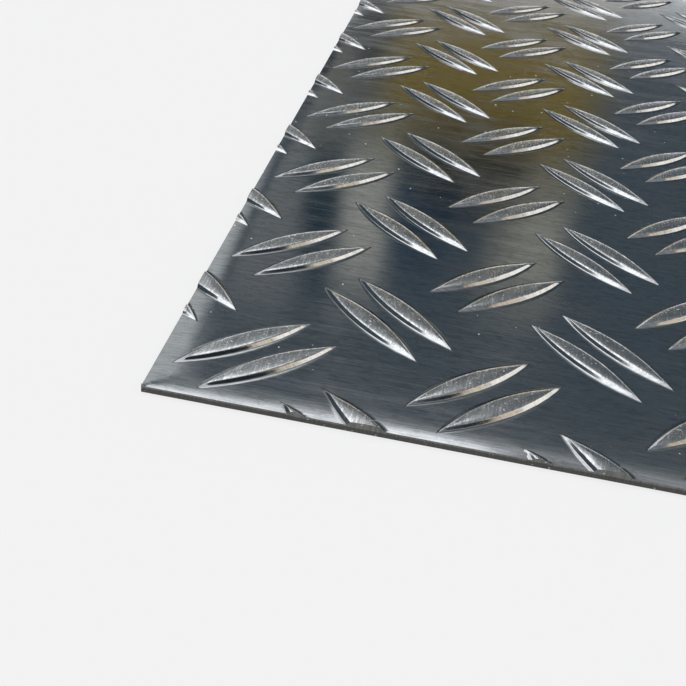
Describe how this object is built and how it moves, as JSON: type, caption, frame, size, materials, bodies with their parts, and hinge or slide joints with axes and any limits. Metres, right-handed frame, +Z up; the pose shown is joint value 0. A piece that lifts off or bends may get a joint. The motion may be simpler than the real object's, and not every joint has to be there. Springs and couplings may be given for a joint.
{
  "type": "aluminium checker plate",
  "caption": "Thin rectangular aluminium tread plate with pairs of raised slanting lugs on its upper face and a flat underside.",
  "frame": {"origin": "centre of the flat underside", "axes": "+Z up through the plate towards the tread, +Y along its length, +X across its width"},
  "size_m": [0.25, 0.5, 0.0023],
  "materials": {
    "aluminium": "bright rolled face with brushed lug crowns and matte sheared edges"
  },
  "bodies": {
    "root": {"checker_plate": "aluminium"}
  },
  "joints": []
}
